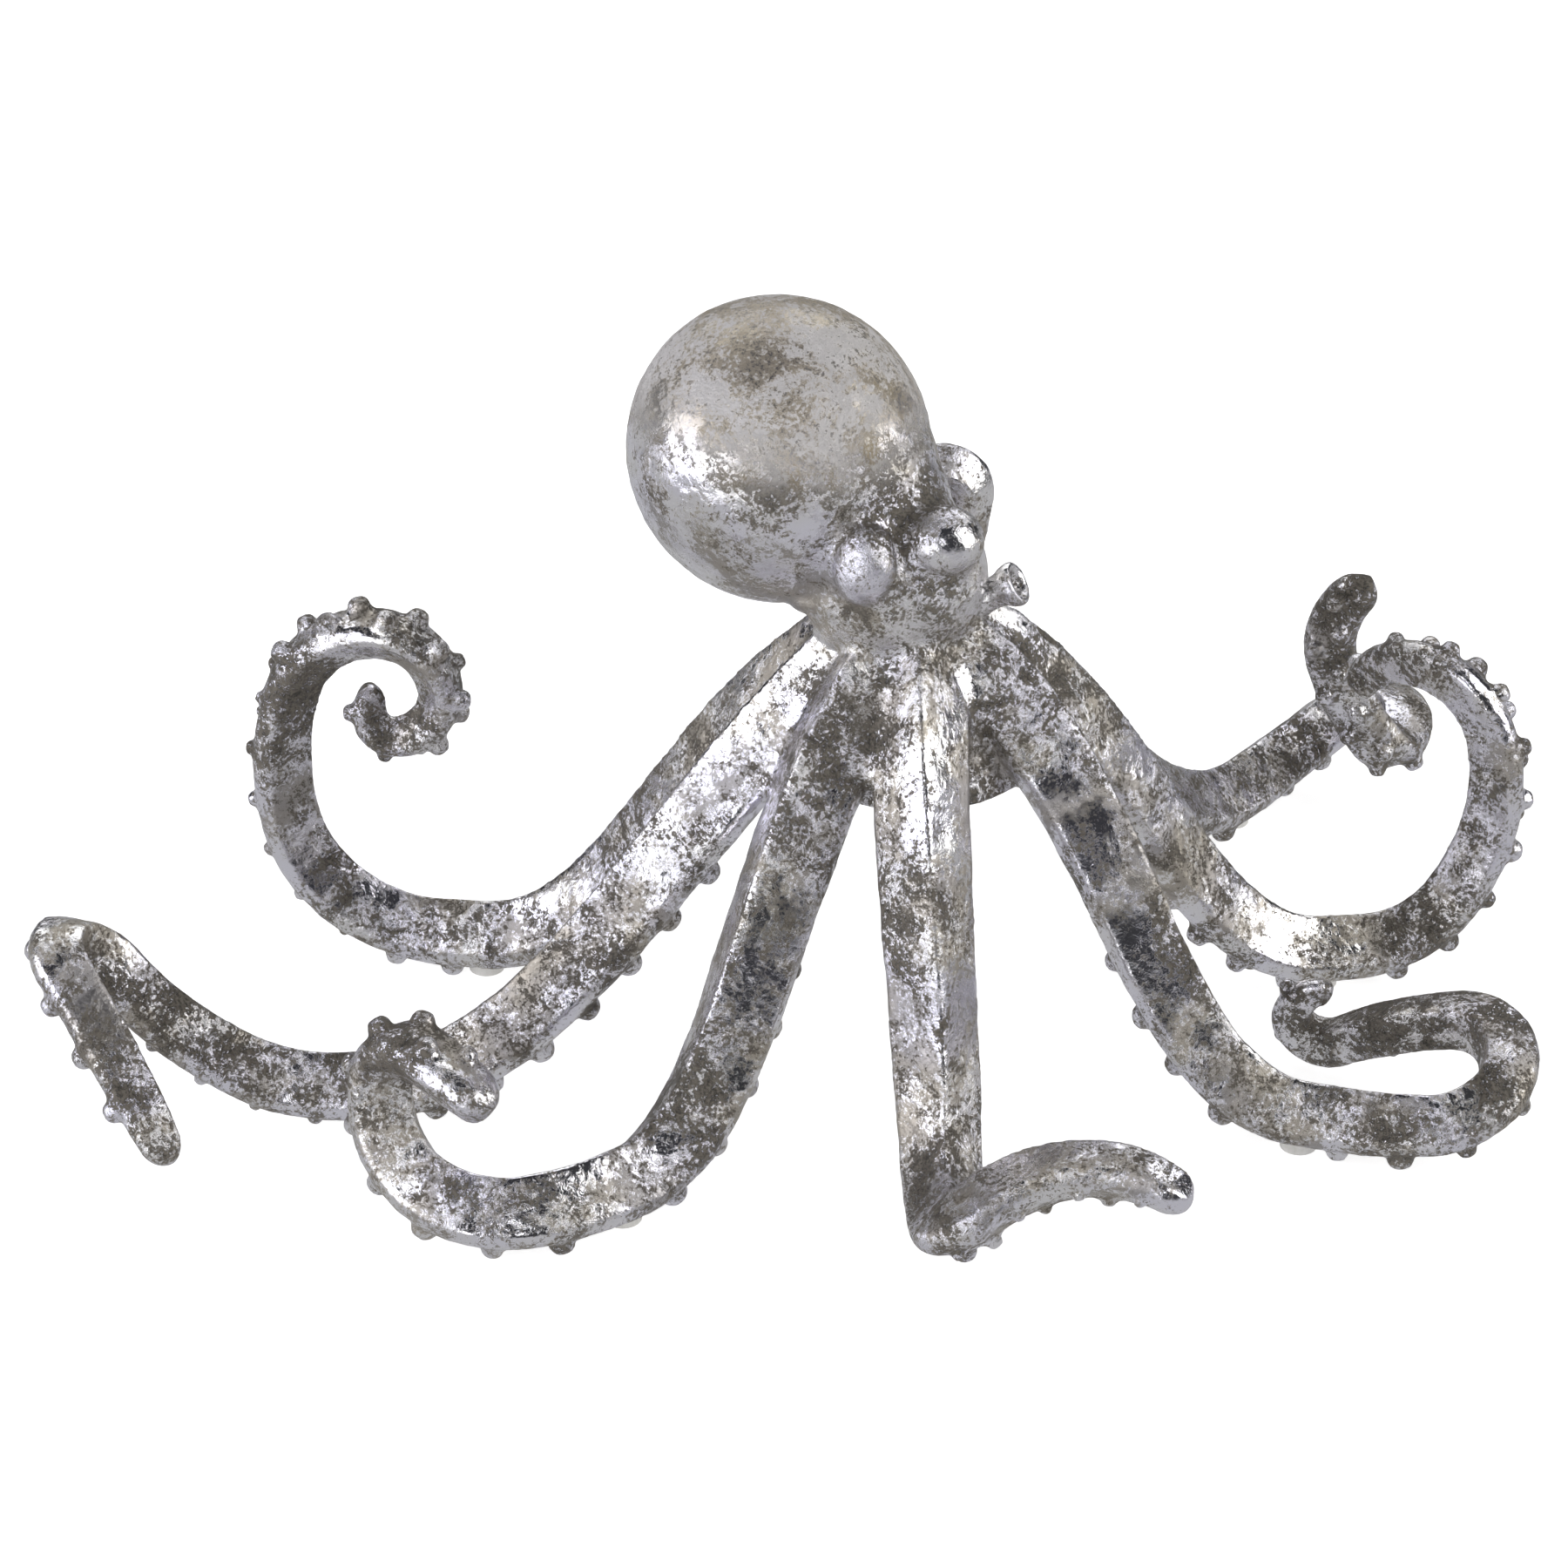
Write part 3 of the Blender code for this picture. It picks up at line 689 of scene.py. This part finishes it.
def add_block(shape, placed, width, start, length):
    """A square block along local Z."""
    middle = Matrix.Translation((0.0, 0.0, start + length / 2))
    block = middle @ Matrix.Diagonal((width, width, length, 1.0))
    bmesh.ops.create_cube(shape, size=1.0, matrix=placed @ block)


def pin_hole(shape, arm):
    start = arm.joint_place() @ Matrix.Translation((0.0, 0.0, -PIN_LENGTH / 2 - GAP))
    add_cone(shape, PIN_DIAMETER / 2 + GAP, PIN_DIAMETER / 2 + GAP, PIN_LENGTH + 2 * GAP, start, 16)


def arm_skin(arm):
    """One arm: its sweep and suckers fused, finished as a casting and cut square at the joint."""
    first = max(0, arm.joint - FRAMES_BEHIND)
    sweep = swept("sweep", arm.spine(first, len(arm.frames)) + arm.rounded_tip())
    rows = run_tree(points_object("rows", sucker_points(arm)), SUCKER_ROWS, height=1.20, rim=0.80,
                    dimple=0.30, spread=0.16, lean=0.16, seed=len(arm.name), skin=LEAF)
    skin = merge("arm_skin_" + arm.name, [sweep, rows])
    fuse(skin, ARM_GRAIN, 3)
    run_tree(skin, CAST_SKIN, fill_reach=blur_rounds(ARM_FILL_REACH, ARM_GRAIN), fill=0.9,
             ripple_size=130.0, ripple_height=0.0007, wrinkle_size=WRINKLE_SIZE, wrinkle_height=0.00022,
             hollow_depth=HOLLOW_DEPTH, skin=LEAF)
    width, depth = ARM_CUT
    behind = bmesh.new()
    add_block(behind, arm.joint_place(), width, -depth, depth + SEAM)
    cut_away(skin, behind)
    hole = bmesh.new()
    pin_hole(hole, arm)
    cut_away(skin, hole)
    finish_mesh(skin)
    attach(skin, "root")
    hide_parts("arm_" + arm.name)
    return skin


def head_form():
    """Overlapping balls for the mantle, neck, head and eyes, and a skirt for the web."""
    shape = bmesh.new()
    about_y, about_x = [math.radians(angle) for angle in MANTLE_LEAN]
    lean = Matrix.Rotation(about_y, 4, "Y") @ Matrix.Rotation(about_x, 4, "X")
    for balls, tilt in ((LEANING_BALLS, lean), (UPRIGHT_BALLS, Matrix.Identity(4))):
        for (x, y, z), radii in balls.values():
            add_ball(shape, Vector((x, y, ROOT_HEIGHT + z)), radii, tilt)
    web_place = Matrix.Translation(AXIS + Vector((0.0, 0.0, ROOT_HEIGHT - WEB_DROP)))
    add_cone(shape, *WEB, web_place)
    return shape


def head_skin(arms):
    """The head casting: its form and the eight stubs fused, and cut square at the joints and for its pins
    and plug.
    """
    form = new_piece("form", head_form())
    stubs = [swept("stub", arm.lead_in() + arm.spine(0, arm.joint + FRAMES_PAST)) for arm in arms]
    skin = merge("head_skin", [form] + stubs)
    fuse(skin, HEAD_GRAIN, 4)
    run_tree(skin, CAST_SKIN, fill_reach=blur_rounds(HEAD_FILL_REACH, HEAD_GRAIN), fill=0.85,
             ripple_size=110.0, ripple_height=0.0007, wrinkle_size=WRINKLE_SIZE, wrinkle_height=0.00022,
             hollow_depth=HOLLOW_DEPTH, skin=LEAF)
    width, depth = STUB_CUT
    beyond = bmesh.new()
    for arm in arms:
        add_block(beyond, arm.joint_place(), width, 0.0, depth)
    cut_away(skin, beyond)
    holes = bmesh.new()
    for arm in arms:
        pin_hole(holes, arm)
    plug_start = Matrix.Translation(AXIS + Vector((0.0, 0.0, HOLE_BOTTOM)))
    add_cone(holes, PLUG_RADIUS + GAP, PLUG_RADIUS + GAP, PLUG_LENGTH + HOLE_MARGIN, plug_start)
    cut_away(skin, holes)
    finish_mesh(skin)
    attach(skin, "root")
    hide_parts("mantle_and_head")
    return skin


def siphon_skin():
    """The siphon: a short trumpet with a rolled rim and a blind bore."""
    placed = facing(AXIS + SIPHON_BASE, SIPHON_AIM.normalized(), Vector((0.0, 0.0, 1.0)))
    shape = bmesh.new()
    angles = [2 * math.pi * i / SIPHON_SIDES for i in range(SIPHON_SIDES)]
    rows = []
    for radius, height in SIPHON_PROFILE:
        ring = [placed @ Vector((radius * math.cos(a), radius * math.sin(a), height)) for a in angles]
        rows.append([shape.verts.new(point) for point in ring])
    for near, far in zip(rows, rows[1:]):
        for i in range(SIPHON_SIDES):
            j = (i + 1) % SIPHON_SIDES
            shape.faces.new((near[i], near[j], far[j], far[i]))
    shape.faces.new(rows[0])
    shape.faces.new(rows[-1])
    bmesh.ops.recalc_face_normals(shape, faces=shape.faces)
    skin = new_piece("siphon_skin", shape)
    fuse(skin, SIPHON_GRAIN, 3)
    run_tree(skin, CAST_SKIN, fill_reach=4, fill=0.5, ripple_size=160.0, ripple_height=0.0005,
             wrinkle_size=WRINKLE_SIZE, wrinkle_height=0.0002, hollow_depth=HOLLOW_DEPTH, skin=LEAF)
    finish_mesh(skin)
    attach(skin, "root")
    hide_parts("siphon")


# ---------------------------------------------------------------- finishes

def new_material(name):
    material = bpy.data.materials.new(name)
    material.use_nodes = True
    material.node_tree.nodes.clear()
    return material, Graph(material.node_tree)


def surface(graph, **inputs):
    """A Principled surface as the material's output."""
    names = {key.replace("_", " ").title(): value for key, value in inputs.items()}
    shader = graph.node("ShaderNodeBsdfPrincipled", {}, names)
    graph.node("ShaderNodeOutputMaterial", {"target": "ALL"}, {"Surface": shader})


def object_place(graph):
    return graph.node("ShaderNodeTexCoord", out="Object")


def silver_leaf():
    """Antique silver leaf: bright crumpled leaf, a warm film, worn speckle down to a taupe undercoat."""
    material, graph = new_material("antique_silver_leaf")
    place = object_place(graph)
    hollow = graph.node("ShaderNodeAttribute", {"attribute_name": "hollow"}, {}, out="Fac")
    height = graph.node("ShaderNodeSeparateXYZ", {}, {"Vector": place}, out="Z")

    broad = graph.noise(place, 32.0, 4.0, 0.60, 0.5, shift=1.3)
    patch = graph.noise(place, 130.0, 10.0, 0.78, 0.7, shift=4.1)
    speck = graph.noise(place, 900.0, 6.0, 0.85, 0.2, shift=7.7)
    film = graph.noise(place, 60.0, 10.0, 0.74, 0.8, shift=11.9)
    tint = graph.noise(place, 46.0, 3.0, 0.55, 0.5, shift=17.3)
    bare = hollow.at_least(-0.8).at_most(1.2)

    face = height.step(0.096, 0.106) * (1.0 - height.step(0.122, 0.134))
    worn = (broad * 0.23 + patch * 0.37 + speck * 0.40 + bare * 0.009 - face * 0.020).step(0.507, 0.513)
    thin = (film * 0.46 + patch * 0.14 + speck * 0.40 + bare * 0.010 - face * 0.012).step(0.494, 0.504)

    leaf = graph.blend(tint.step(0.40, 0.62), (0.90, 0.89, 0.97, 1.0), (0.88, 0.87, 0.87, 1.0))
    warm = graph.blend(tint.step(0.35, 0.62), (0.42, 0.40, 0.39, 1.0), (0.44, 0.39, 0.31, 1.0))
    silver = graph.blend(thin * 0.8, leaf, warm)
    ground = graph.blend(speck.step(0.40, 0.60), (0.030, 0.027, 0.023, 1.0), (0.19, 0.170, 0.142, 1.0))
    crown = (height + broad * 0.036).step(0.158, 0.176)
    mottle = film * 0.35 + patch * 0.25 + speck * 0.40
    mottled = graph.blend(mottle.step(0.496, 0.504), (0.44, 0.37, 0.255, 1.0), (0.80, 0.78, 0.78, 1.0))
    fleck = (speck * 0.7 + patch * 0.3).step(0.452, 0.462)
    dull = graph.blend(fleck, (0.10, 0.088, 0.068, 1.0), mottled)
    colour = graph.blend(crown * 0.82, graph.blend(worn, silver, ground), dull)

    metal = (1.0 - worn * 0.60) * (1.0 - crown * 0.45)
    shine = 0.10 + thin * 0.20 + worn * 0.26 + speck * 0.08 + crown * 0.18

    glitter = (film * 0.6 + broad * 0.4).step(0.46, 0.58)
    crumple = graph.noise(place, 1500.0, 3.0, 0.65, 0.3, shift=31.0)
    folds = graph.noise(place, 430.0, 3.0, 0.60, 1.2, shift=37.0)
    dents = graph.noise(place, 130.0, 2.0, 0.50, 0.4, shift=41.0)
    relief = (dents * 0.0006 + folds * (0.00016 + glitter * 0.00016)
              + crumple * (0.00005 + glitter * 0.00009) - worn * 0.00003)
    bumped = graph.node("ShaderNodeBump", {}, {"Strength": 1.0, "Distance": 1.0, "Height": relief})
    surface(graph, base_color=colour, metallic=metal, roughness=shine, normal=bumped)
    return material


def casting_resin():
    """Bare taupe resin of the plug, with brushed-on colour and small pits."""
    material, graph = new_material("taupe_casting_resin")
    place = object_place(graph)
    wash = graph.noise(place, 160.0, 5.0, 0.6, 0.5, shift=3.0)
    colour = graph.blend(wash.step(0.38, 0.62), (0.13, 0.11, 0.085, 1.0), (0.26, 0.225, 0.175, 1.0))
    pits = graph.noise(place, 900.0, 4.0, 0.7, shift=5.0)
    bumped = graph.node("ShaderNodeBump", {}, {"Strength": 0.6, "Distance": 1.0, "Height": pits * 0.0003})
    surface(graph, base_color=colour, metallic=0.0, roughness=0.55 + wash * 0.25, normal=bumped)
    return material


def ground_steel():
    """Cut steel rod with fine lines and a little tarnish."""
    material, graph = new_material("ground_steel_rod")
    place = object_place(graph)
    lines = graph.noise(place, 1400.0, 2.0, 0.5, shift=2.0)
    stain = graph.noise(place, 220.0, 4.0, 0.6, shift=6.0)
    colour = graph.blend(stain.step(0.45, 0.70), (0.56, 0.57, 0.58, 1.0), (0.36, 0.34, 0.32, 1.0))
    bumped = graph.node("ShaderNodeBump", {}, {"Strength": 0.4, "Distance": 1.0, "Height": lines * 0.0001})
    surface(graph, base_color=colour, metallic=1.0, roughness=0.26 + lines * 0.2, normal=bumped)
    return material


def pad_rubber():
    """Milky pale rubber with a fine grain."""
    material, graph = new_material("milky_pad_rubber")
    place = object_place(graph)
    grain = graph.noise(place, 1100.0, 4.0, 0.7, shift=8.0)
    dust = graph.noise(place, 260.0, 3.0, 0.6, shift=9.0)
    colour = graph.blend(dust.step(0.45, 0.75), (0.66, 0.65, 0.63, 1.0), (0.55, 0.54, 0.51, 1.0))
    bumped = graph.node("ShaderNodeBump", {}, {"Strength": 0.5, "Distance": 1.0, "Height": grain * 0.0002})
    surface(graph, base_color=colour, metallic=0.0, roughness=0.62 + grain * 0.25, normal=bumped)
    return material


def dress_cad_nodes():
    """The solid parts that keep their own shape get their finishes."""
    finishes = {"pour_plug": casting_resin(), "arm_pin_": ground_steel(), "foot_pad_": pad_rubber()}
    for name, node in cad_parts.items():
        for start, finish in finishes.items():
            if name.startswith(start):
                node.data.materials.clear()
                node.data.materials.append(finish)


# ---------------------------------------------------------------- studio

def add_floor():
    material, graph = new_material("pale_floor")
    surface(graph, base_color=(0.80, 0.80, 0.80, 1.0), metallic=0.0, roughness=1.0,
            emission_color=(1.0, 1.0, 1.0, 1.0), emission_strength=0.80)
    shape = bmesh.new()
    bmesh.ops.create_grid(shape, x_segments=1, y_segments=1, size=6.0)
    floor = new_piece("pale_floor", shape)
    floor.data.materials.append(material)
    floor.visible_glossy = False


def add_light(name, place, size, power, colour):
    """A soft square light that looks at the middle of the octopus."""
    data = bpy.data.lights.new(name, "AREA")
    data.shape = "RECTANGLE"
    data.size, data.size_y = size
    data.energy = power
    data.color = colour
    light = bpy.data.objects.new(name, data)
    light.location = place
    aim = LIGHTS_AIM - Vector(place)
    light.rotation_euler = aim.to_track_quat("-Z", "Y").to_euler()
    light.visible_camera = False
    bpy.context.scene.collection.objects.link(light)


def add_studio():
    world = bpy.data.worlds.new("soft_studio")
    world.use_nodes = True
    graph = Graph(world.node_tree)
    way = graph.node("ShaderNodeTexCoord", out="Generated")
    height = graph.node("ShaderNodeSeparateXYZ", {}, {"Vector": way}, out="Z")
    sky = graph.blend(height.step(-0.25, 0.10), (0.46, 0.46, 0.47, 1.0), (0.034, 0.034, 0.037, 1.0))
    back = world.node_tree.nodes["Background"]
    world.node_tree.links.new(sky.socket, back.inputs["Color"])
    bpy.context.scene.world = world
    for name, (place, size, power, colour) in LIGHTS.items():
        add_light(name, place, size, power, colour)


def add_camera():
    data = bpy.data.cameras.new("camera")
    data.sensor_width = 36.0
    data.lens = CAMERA_LENS
    camera = bpy.data.objects.new("camera", data)
    camera.location = AXIS + CAMERA_PLACE
    camera.rotation_euler = (math.radians(CAMERA_TILT), 0.0, 0.0)
    bpy.context.scene.collection.objects.link(camera)
    bpy.context.scene.camera = camera


LEAF = silver_leaf()
KEELED_ARM = keeled_arm_tree()
SUCKER_ROWS = sucker_rows_tree()
CAST_SKIN = cast_skin_tree()

octopus_arms = [Arm(name, plan) for name, plan in ARMS.items()]
for one_arm in octopus_arms:
    arm_skin(one_arm)
head_skin(octopus_arms)
siphon_skin()
dress_cad_nodes()
add_floor()
add_studio()
add_camera()
bpy.context.scene.view_settings.view_transform = "Standard"
